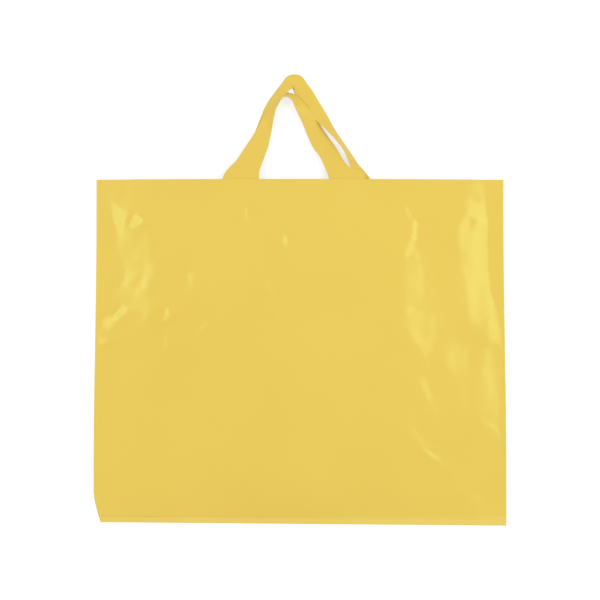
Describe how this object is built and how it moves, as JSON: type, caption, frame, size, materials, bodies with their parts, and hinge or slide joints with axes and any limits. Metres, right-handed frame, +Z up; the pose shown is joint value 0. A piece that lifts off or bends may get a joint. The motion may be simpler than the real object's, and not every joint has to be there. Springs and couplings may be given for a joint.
{
  "type": "film shopping bag",
  "caption": "Empty film shopping bag lying on its back, with a folded bottom gusset, welded sides, an open mouth and soft strip loop handles.",
  "frame": {"origin": "on the surface that the bag lies on, below the middle of the outline of bag and handles", "axes": "+X across the bag, +Y from the bottom fold to the mouth and handles, +Z up through the bag's thickness"},
  "size_m": [0.507, 0.5536, 0.0205],
  "materials": {
    "bag_film": "glossy yellow polyethylene film",
    "handle_film": "satin yellow polyethylene strip, gathered"
  },
  "bodies": {
    "root": {"bag_body": "bag_film", "front_handle": "handle_film", "back_handle": "handle_film"}
  },
  "joints": []
}
